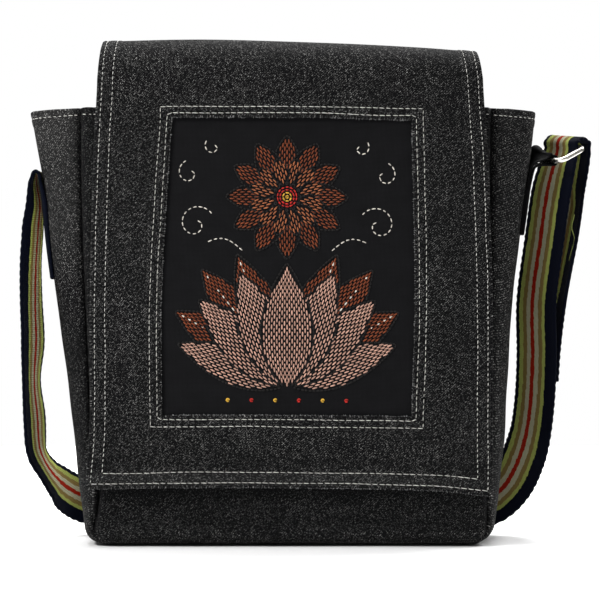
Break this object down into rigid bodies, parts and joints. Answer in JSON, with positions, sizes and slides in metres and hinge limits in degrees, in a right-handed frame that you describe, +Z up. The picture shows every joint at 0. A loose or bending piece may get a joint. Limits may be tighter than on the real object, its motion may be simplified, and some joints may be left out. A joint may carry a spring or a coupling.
{
  "type": "denim sling bag",
  "caption": "Soft black denim sling bag standing on its base: gusseted body, flap with a framed window over an embroidered cotton panel, striped webbing strap looped through a metal ring.",
  "frame": {"origin": "centre of the flat base, on the surface the bag stands on", "axes": "+Z up, -Y towards the front that carries the flap's window, +X to the side with the strap's ring"},
  "size_m": [0.3949, 0.0955, 0.3465],
  "materials": {
    "black_denim": "black warp and pale weft twill",
    "black_cotton": "plain matte cotton",
    "striped_webbing": "woven stripes of navy, lime, tan, cream and red",
    "tab_cotton": "plain matte cotton",
    "nickel": "polished nickel plate"
  },
  "bodies": {
    "root": {"front_panel": "black_denim", "back_panel": "black_denim", "gusset": "black_denim", "flap": "black_denim", "embroidered_panel": "black_cotton", "strap": "striped_webbing", "ring_tab": "tab_cotton", "strap_ring": "nickel"}
  },
  "joints": []
}
